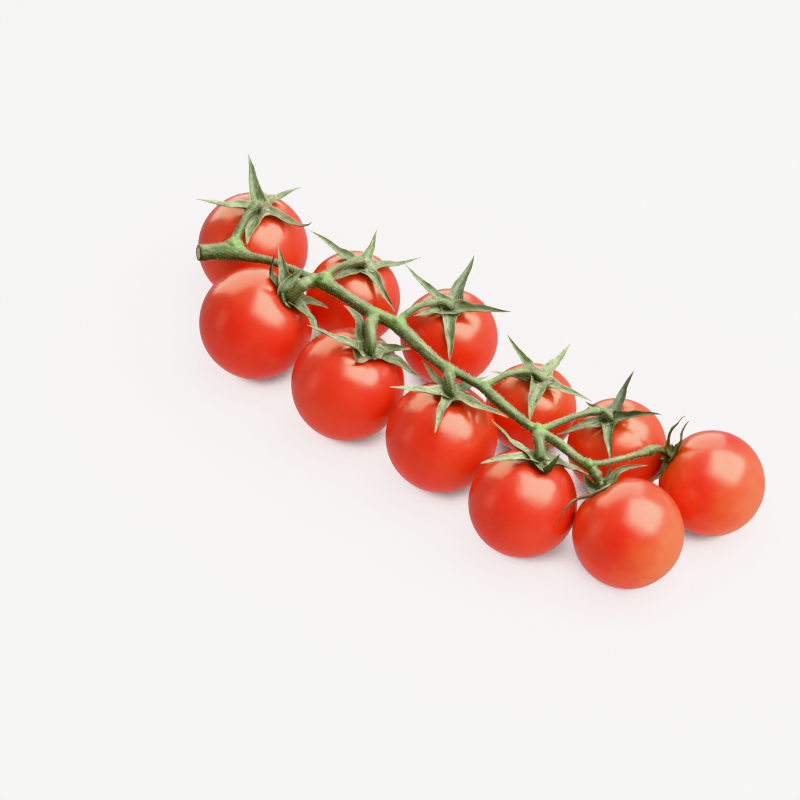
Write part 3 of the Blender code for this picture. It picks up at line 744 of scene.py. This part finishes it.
def sepal_line(k, key, row, wob, steps=48):
    heading, length, lift0, lift1, sweep, width = row[:6]
    bow, curl = (tuple(row[6:]) + (0.0, 0.0))[:2]
    turn = upright_to(k)
    a0 = math.radians(heading)
    s = (np.arange(steps) + 0.5) / steps
    a = a0 + math.radians(sweep) * s + math.radians(bow) * np.sin(2 * math.pi * s) + wob[0] * np.sin(2 * math.pi * (s * 1.3 + wob[1]))
    f = np.radians(lift0 + (lift1 - lift0) * s + curl * s ** 4) + wob[2] * np.sin(2 * math.pi * (s * 1.2 + wob[3]))
    step = np.stack([np.cos(a) * np.cos(f), np.sin(a) * np.cos(f), np.sin(f)], 1) * (length / steps)
    p0 = ring_seat(k) + turn @ np.array((math.cos(a0), math.sin(a0), 0)) * 0.9
    line = p0 + np.concatenate([np.zeros((1, 3)), np.cumsum(step @ turn.T, axis=0)])
    u = np.arange(steps + 1) / steps
    if key in CURLED:
        forward = np.array((math.sin(AZ), -math.cos(AZ), 0))
        pts = [RIGHT * r + np.array((0, 0, z)) + forward * h for r, z, h in CURLED[key]]
        first = pts[0] - axis(k) * pts[0].dot(axis(k))
        first = unit(first)
        fine = spline([ring_seat(k) + first * 0.9] + [ring_seat(k) + q for q in pts], 0.1)
        run = np.concatenate([[0], np.cumsum(np.linalg.norm(np.diff(fine, axis=0), axis=1))])
        line = np.stack([np.interp(u * run[-1], run, fine[:, i]) for i in range(3)], 1)
    for _ in range(4):
        line = kept_clear(line, k, u, half_width(width, u))
        for _ in range(3):
            line[1:-1] = line[1:-1] * 0.5 + (line[:-2] + line[2:]) * 0.25
    b = a0 + math.radians(sweep) * u
    wide = np.stack([-np.sin(b), np.cos(b), np.zeros(steps + 1)], 1) @ turn.T
    if key in FACING:
        wide = np.cross(BACK, np.gradient(line, axis=0))
        wide /= np.linalg.norm(wide, axis=1)[:, None]
    elif key in CURLED:
        wide = np.tile(np.cross(axis(k), first), (steps + 1, 1))
    return line, wide


def sepal_arrays(k, idx, row):
    """One sepal as a closed thin leaf: folded along its midrib, edges and tip wavering."""
    rng = np.random.RandomState(1000 + 17 * k + idx)
    steps, across = 56, 12
    wob = (rng.uniform(0.03, 0.14), rng.uniform(0, 1), rng.uniform(0.02, 0.12), rng.uniform(0, 1))
    line, wide = sepal_line(k, (k, idx), row, wob, steps)
    length = np.linalg.norm(np.diff(line, axis=0), axis=1).sum()
    width = row[5]
    fold0, fold1 = rng.uniform(0.35, 0.62), rng.uniform(0.25, 0.75)
    twist = math.radians(rng.uniform(-30, 30))
    ph = rng.uniform(0, 6.28, 4)
    lop = rng.uniform(-0.14, 0.14)
    roll = rng.uniform(0.0, 0.5)
    s = np.arange(steps + 1) / steps
    t = np.empty_like(line)
    t[1:-1] = line[2:] - line[:-2]
    t[0], t[-1] = line[1] - line[0], line[-1] - line[-2]
    t /= np.linalg.norm(t, axis=1)[:, None]
    w = wide - t * (wide * t).sum(1)[:, None]
    w /= np.linalg.norm(w, axis=1)[:, None]
    up = np.cross(t, w)
    tw = (twist * s ** 1.5)[:, None]
    w, up = w * np.cos(tw) + up * np.sin(tw), up * np.cos(tw) - w * np.sin(tw)
    h = half_width(width, s)
    fold = (fold0 + (fold1 - fold0) * s) * np.clip(0.1 + s * 5, 0, 1)
    ang = np.arctan(fold) * 1.15
    thick = 0.32 * (1 - 0.5 * s) + 0.05
    top = np.linspace(-1, 1, across + 1)
    vs = np.concatenate([top, top[::-1][1:-1]])
    side = np.concatenate([np.ones(across + 1), -np.ones(across - 1)])
    S, Vv = np.meshgrid(s, vs, indexing="ij")
    side = np.broadcast_to(side, S.shape)
    a = np.abs(Vv)
    right = Vv > 0
    phs = np.where(right, ph[0], ph[1])
    edge = 1 + lop * np.sign(Vv) + (0.06 * np.sin(21 * S + phs) + 0.03 * np.sin(47 * S + 2 * phs)) * np.clip(S * 6, 0, 1) * (1 - S)
    hh = h[:, None] * edge
    y = Vv * hh * np.cos(ang[:, None] * a)
    z = a ** 1.3 * hh * np.sin(ang)[:, None] + 0.13 * h[:, None] * np.sin(15 * S + np.where(right, ph[2], ph[3])) * a * a
    z += roll * hh * np.clip(a - 0.6, 0, 1) ** 2 * 2.0
    th = thick[:, None] * (1 - 0.70 * a ** 3) * 0.5
    midrib = np.exp(-(Vv / 0.10) ** 2) * (1 - S)
    veins = 0.022 * np.cos(8.5 * Vv + 1.5 * S) * (1 - a)
    foot = 0.30 * np.exp(-(S / 0.10) ** 2)
    z += side * th + np.where(side > 0, -0.06 * midrib + veins + foot, -0.12 * midrib)
    P = line[:, None, :] + w[:, None, :] * y[..., None] + up[:, None, :] * z[..., None]
    A = np.stack([S, a, (side < 0).astype(float)], -1)
    # painted light and shade: each face of the leaf is painted lighter or darker by which way it turns
    tilt_ = (ang[:, None] * np.clip(3 * a, 0, 1))[..., None]
    out_n = up[:, None, :] * np.cos(tilt_) - w[:, None, :] * (np.sign(Vv)[..., None] * np.sin(tilt_))
    painted_light = 0.5 + 0.5 * ((out_n * side[..., None]) @ PAINTED_LIGHT_DIR)
    G = np.stack([S * length * 0.16, Vv * hh * 0.9, np.full(S.shape, k * 5.0 + idx * 1.7)], -1)
    ring = 2 * across
    F = []
    for i in range(steps):
        for j in range(ring):
            j2 = (j + 1) % ring
            F.append((i * ring + j, i * ring + j2, (i + 1) * ring + j2, (i + 1) * ring + j))
    F.append(tuple(range(ring))[::-1])
    F.append(tuple(steps * ring + j for j in range(ring)))
    return P.reshape(-1, 3), F, A.reshape(-1, 3), G.reshape(-1, 3), painted_light.ravel()


def tail_stations(k):
    upper = spline(PEDICEL_IN[k], 0.6)
    knuckle = upper[-1, :3]
    go = unit(knuckle - upper[-2, :3])
    wide = upper[-1, 3]
    start = knuckle + go * 0.22
    seat = ring_seat(k)
    reach = np.linalg.norm(seat - start)
    b1, b2 = start + go * reach * 0.38, seat + axis(k) * reach * 0.5
    t = (np.arange(19) / 18)[:, None]
    p = start * (1 - t) ** 3 + b1 * 3 * t * (1 - t) ** 2 + b2 * 3 * t * t * (1 - t) + seat * t ** 3
    d = wide + (PEDICEL_OUT[k] - wide) * np.clip(t * 2.0, 0, 1)
    d = d * (1 + 0.12 * np.exp(-((t - 0.78) / 0.2) ** 2))
    run = knuckled(np.concatenate([p, d], 1), at_end=False, start=True)
    run[:, 3] *= 0.92
    return run


def calyx_piece(k, mat):
    seat, n, turn = ring_seat(k), axis(k), upright_to(k)
    rp = PEDICEL_OUT[k] / 2
    rng = np.random.RandomState(300 + k)
    # pedicel, and a lobed collar with a groove round the pedicel's foot
    parts = [tube_arrays(tail_stations(k), 24)]
    heads = [math.radians(r[0]) for r in SEPALS[k]]
    prof = [(0.0, 0.30), (rp * 0.9, 0.30), (rp + 0.12, -0.06), (rp + 0.40, 0.10), (rp + 0.75, 0.34), (rp + 1.15, 0.30), (rp + 1.5, 0.0),
            (rp + 1.35, -0.32), (rp + 0.7, -0.62), (0.0, -0.70)]
    m = 60
    V, F = [], []
    for i, (r, h) in enumerate(prof[1:-1]):
        for j in range(m):
            a = 2 * math.pi * j / m
            near = max(math.cos((a - hd + math.pi) % (2 * math.pi) - math.pi) for hd in heads)
            lobe = max(0.0, near) ** 6
            rr = r * (1 + (0.12 * lobe - 0.08) * (r > rp + 0.5))
            V.append(seat + turn @ np.array((rr * math.cos(a), rr * math.sin(a), h - (0.08 * lobe if h > 0.1 else 0))))
    rows = len(prof) - 2
    top, bot = len(V), len(V) + 1
    V.append(seat + n * prof[0][1]); V.append(seat + n * prof[-1][1])
    for i in range(rows - 1):
        for j in range(m):
            j2 = (j + 1) % m
            F.append((i * m + j, (i + 1) * m + j, (i + 1) * m + j2, i * m + j2))
    for j in range(m):
        j2 = (j + 1) % m
        F.append((top, j, j2))
        F.append((bot, (rows - 1) * m + j2, (rows - 1) * m + j))
    parts.append((np.array(V), F))
    V, F = joined(parts)
    v, faces, nrm = remeshed("calyx", V, F, 0.17, 3)
    tail = tail_stations(k)
    _, along, ang, _, rad_ = nearest_on([tail], v)
    ridge = np.cos(5 * ang + 0.5 * along + k)
    v = v + nrm * (0.06 * fbm(v, 1.1, 9 + k, 3) + 0.07 * ridge)[:, None]
    d = (v - seat) @ n
    rr = np.linalg.norm((v - seat) - np.outer(d, n), axis=1)
    ped = np.clip((np.linalg.norm(v - seat, axis=1) - (rp + 1.1)) / 0.8, 0, 1)
    # painted shade: a dark ring in the groove round the pedicel's foot, and a dark spot under the pedicel's arch where
    # it turns down into the calyx
    painted_shade = np.exp(-((rr - rp - 0.12) / 0.35) ** 2) * (np.abs(d) < 0.9)
    low_side = -UPV - n * (-UPV).dot(n)
    shade_spot = seat + n * 0.50 + unit(low_side) * rp * 1.20
    if k in (3, 5, 7, 9):
        shade_spot = seat + n * 0.25 + unit(low_side) * 0.6 - unit(RIGHT - n * RIGHT.dot(n)) * 1.35
    painted_shade = np.maximum(painted_shade, np.exp(-(np.linalg.norm(v - shade_spot, axis=1) / 1.35) ** 4))
    N = len(v)
    hv, hf = hairs(v, nrm, 300, rng, 0.24, 0.80, d > 0.8)
    # the last column per vertex holds leaf brightness, drying, and painted light and shade by which way each face turns
    cols = [[v, np.tile((0.0, 0.25, 0.0), (N, 1)), ped, painted_shade, np.full(N, 0.5), np.zeros(N),
             np.stack([along * 0.08, ang * rad_ * 0.55, np.full(N, k * 1.0)], 1), np.stack([np.ones(N), np.zeros(N), painted_light_facing(nrm)], 1)]]
    Fs = list(faces)
    off = N
    H = len(hv)
    cols.append([hv, np.zeros((H, 3)), np.zeros(H), np.zeros(H), np.zeros(H), np.ones(H), np.zeros((H, 3)), np.tile((1.0, 0.0, 0.7), (H, 1))])
    Fs += [tuple(i + off for i in f) for f in hf]
    off += H
    for idx, row in enumerate(SEPALS[k]):
        sv, sf, sa, sg, painted_light = sepal_arrays(k, idx, row)
        sv = laid_on(sv, sa[:, 2], k)
        q = len(sv)
        # painted shade on the leaf's foot beside the pedicel and round the shade spot
        foot = np.maximum(0.8 * np.exp(-(np.linalg.norm(sv - seat, axis=1) - rp).clip(0) / 0.5),
                          np.exp(-(np.linalg.norm(sv - shade_spot, axis=1) / 1.45) ** 4))
        cols.append([sv, sa, np.zeros(q), foot,
                     np.full(q, rng.uniform(0, 1)), np.zeros(q), sg,
                     np.concatenate([np.tile(TONE.get((k, idx), (1.0, 0.0)), (q, 1)), painted_light[:, None]], 1)])
        Fs += [tuple(i + off for i in f) for f in sf]
        off += q
    v, leaf_, ped, painted_shade, tint, hair, grain, tone = (np.concatenate(c) for c in zip(*cols))
    ob = mesh_piece("calyx_%02d_skin" % k, v, Fs,
                    attrs={"leaf": leaf_, "pedicel": ped, "painted_shade": painted_shade, "tint": tint, "hair": hair, "grain": grain, "tone": tone})
    ob.data.materials.append(mat)
    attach(ob, "root")
    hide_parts("calyx_%02d" % k)
    return ob


def sepal_material():
    m, nt, b = new_material("sepal_skin")
    along, off_mid, under = separated(nt, "leaf")[:3]
    ped, painted_shade, tint, hair = (node(nt, "ShaderNodeAttribute", attribute_name=a).outputs["Fac"] for a in ("pedicel", "painted_shade", "tint", "hair"))
    broad = object_noise(nt, 230.0, 4.0, 0.6)
    streak = grain_noise(nt, 2.6, 4.0)
    dots = grain_noise(nt, 4.2, 3.0, 0.7)
    shade, drying, painted_light = separated(nt, "tone")[:3]
    top = ramp(nt, broad, [(0.30, (0.165, 0.218, 0.102)), (0.5, (0.232, 0.296, 0.150)), (0.70, (0.335, 0.408, 0.232))])
    top = mix(nt, maths(nt, "MULTIPLY", tint, 0.30), top, (0.33, 0.37, 0.19))
    lines = ramp(nt, streak, [(0.34, (0.50, 0.53, 0.48)), (0.50, (1, 1, 1)), (0.68, (1.45, 1.42, 1.42))])
    top = mix(nt, 0.75, top, lines, "MULTIPLY")
    # dark flecks down the middle, pale margin, pale dry tip
    fleck = ramp(nt, dots, [(0.37, (0.10, 0.12, 0.09)), (0.45, (1, 1, 1)), (0.70, (1.30, 1.28, 1.26))])
    top = mix(nt, 0.8, top, fleck, "MULTIPLY")
    margin = ramp(nt, off_mid, [(0.72, (0, 0, 0)), (0.98, (1, 1, 1))])
    bw = nt.nodes.new("ShaderNodeRGBToBW")
    link(nt, margin, bw.inputs[0])
    top = mix(nt, maths(nt, "MULTIPLY", bw.outputs[0], 0.75), top, (0.62, 0.52, 0.38))
    dry = ramp(nt, along, [(0.80, (0, 0, 0)), (1.0, (1, 1, 1))])
    bw2 = nt.nodes.new("ShaderNodeRGBToBW")
    link(nt, dry, bw2.inputs[0])
    top = mix(nt, maths(nt, "MULTIPLY", bw2.outputs[0], 0.55), top, (0.42, 0.38, 0.27))
    # painted shade: the leaf's underside gets a darker copy of the green
    low = ramp(nt, broad, [(0.3, (0.095, 0.115, 0.042)), (0.7, (0.155, 0.18, 0.070))])
    low = mix(nt, 0.7, low, fleck, "MULTIPLY")
    col = mix(nt, under, top, low)
    # each leaf's brightness factor from TONE, partly painted light and shade
    col = mix(nt, 1.0, col, shade, "MULTIPLY")
    col = mix(nt, drying, col, (0.30, 0.17, 0.095))
    stemc = ramp(nt, broad, [(0.3, (0.165, 0.215, 0.085)), (0.7, (0.25, 0.305, 0.145))])
    stemc = mix(nt, 0.7, stemc, lines, "MULTIPLY")
    col = mix(nt, ped, col, stemc)
    # painted light and shade: the colour is lightened on faces turned to the light and darkened on faces turned away
    col = mix(nt, 1.0, col, ramp(nt, painted_light, [(0.10, (0.17, 0.19, 0.14)), (0.45, (0.45, 0.47, 0.39)), (0.72, (0.90, 0.91, 0.87)), (0.95, (1.28, 1.24, 1.27))]), "MULTIPLY")
    # painted shade: nearly black green in the groove round the pedicel and under its arch
    col = mix(nt, maths(nt, "MULTIPLY", painted_shade, 0.88), col, (0.018, 0.030, 0.009))
    col = mix(nt, hair, col, (0.62, 0.58, 0.44))
    link(nt, col, b.inputs["Base Color"])
    green_finish(nt, b, 2400.0, 0.4)
    return m


# ---------------------------------------------------------------- build
skin, green, leaf = skin_material(), stem_material(), sepal_material()
for k in FRUITS:
    fruit_piece(k, skin)
stem_piece(green)
for k in FRUITS:
    calyx_piece(k, leaf)


# ---------------------------------------------------------------- surface, light and camera
def floor():
    size, n = 1.6, 8
    g = np.linspace(-size, size, n + 1)
    V = [(x, y, 0.0) for y in g for x in g]
    F = [(j * (n + 1) + i, j * (n + 1) + i + 1, (j + 1) * (n + 1) + i + 1, (j + 1) * (n + 1) + i) for j in range(n) for i in range(n)]
    me = bpy.data.meshes.new("floor")
    me.from_pydata(V, [], F)
    ob = bpy.data.objects.new("floor", me)
    scene.collection.objects.link(ob)
    m, nt, b = new_material("floor_white")
    b.inputs["Base Color"].default_value = (0.34, 0.34, 0.34, 1)
    b.inputs["Emission Color"].default_value = (1, 1, 1, 1)
    # painted shade: ambient occlusion dims the floor's glow in the closed-in places between the fruits
    ao = node(nt, "ShaderNodeAmbientOcclusion", Distance=0.030)
    ao.samples = 12
    open_ = maths(nt, "DIVIDE", maths(nt, "SUBTRACT", ao.outputs["AO"], 0.09), 0.22, clamp=True)
    link(nt, maths(nt, "MULTIPLY", open_, 0.95), b.inputs["Emission Strength"])
    b.inputs["Roughness"].default_value = 0.8
    b.inputs["Specular IOR Level"].default_value = 0.1
    me.materials.append(m)
    ob.visible_glossy = False


def area(name, direction, dist, size, size_y, radiance, colour=(1, 1, 1), diffuse=True, glossy=True):
    """A soft panel facing the fruit; radiance is what a mirror would show of it."""
    d = unit(direction)
    light = bpy.data.lights.new(name, "AREA")
    light.shape = "RECTANGLE"
    light.size = size
    light.size_y = size_y
    light.energy = radiance * math.pi * size * size_y
    light.color = colour
    ob = bpy.data.objects.new(name, light)
    ob.location = Vector(d * dist) + Vector((0, 0, 0.015))
    ob.rotation_euler = Vector(d).to_track_quat("Z", "Y").to_euler()
    ob.visible_diffuse = diffuse
    ob.visible_glossy = glossy
    scene.collection.objects.link(ob)
    return ob


def mirrored(x, y):
    """Where a panel stands whose reflection shows at (x, y) of a ball's radius."""
    z = math.sqrt(1 - x * x - y * y)
    return RIGHT * (2 * z * x) + UPV * (2 * z * y) + BACK * (2 * z * z - 1)


floor()
area("top_panel", mirrored(0.24, 0.29), 0.60, 0.80, 0.70, 3.2, (1.0, 0.985, 0.96))
area("top_sheen", mirrored(0.31, 0.315), 0.62, 0.68, 0.70, 7.8, (0.90, 1.0, 0.92), diffuse=False)
area("side_panel", mirrored(-0.58, 0.05), 0.80, 0.25, 0.45, 0.7, (1.0, 1.0, 1.0))
area("rim_sheen", mirrored(-0.17, 0.79), 0.80, 1.15, 0.92, 3.9, (0.95, 1.0, 0.82), diffuse=False)
area("front_fill", mirrored(0.10, -0.12), 0.90, 0.60, 0.60, 0.6, (1.0, 1.0, 1.0), glossy=False)

world = bpy.data.worlds.new("studio")
scene.world = world
world.use_nodes = True
wt = world.node_tree
bg = wt.nodes["Background"]
tc = wt.nodes.new("ShaderNodeTexCoord")
dot = wt.nodes.new("ShaderNodeVectorMath")
dot.operation = "DOT_PRODUCT"
dark = unit(np.array((math.sin(AZ), -math.cos(AZ), 0)) + np.array((0, 0, 0.55)))
dot.inputs[1].default_value = tuple(dark)
wt.links.new(tc.outputs["Generated"], dot.inputs[0])
wr = wt.nodes.new("ShaderNodeValToRGB")
for e, (pos, val) in zip(wr.color_ramp.elements, ((0.25, 0.42), (0.85, 0.10))):
    e.position = pos
    e.color = (val, val, val, 1)
wr.color_ramp.interpolation = "EASE"
wt.links.new(dot.outputs["Value"], wr.inputs[0])
wt.links.new(wr.outputs[0], bg.inputs[0])
bg.inputs[1].default_value = 1.0

cam = bpy.data.cameras.new("camera")
cam.lens = 110
cam.sensor_width = 36
cam.clip_start = 0.01
cam_ob = bpy.data.objects.new("camera", cam)
target = (np.array((0.0, 0.0, 14.6)) - ORIGIN) * MM
cam_ob.location = Vector(target + BACK * 0.655)
cam_ob.rotation_euler = Vector(BACK).to_track_quat("Z", "Y").to_euler()
scene.collection.objects.link(cam_ob)
scene.camera = cam_ob

scene.view_settings.view_transform = "Khronos PBR Neutral"
scene.view_settings.look = "None"
scene.view_settings.exposure = 0.0
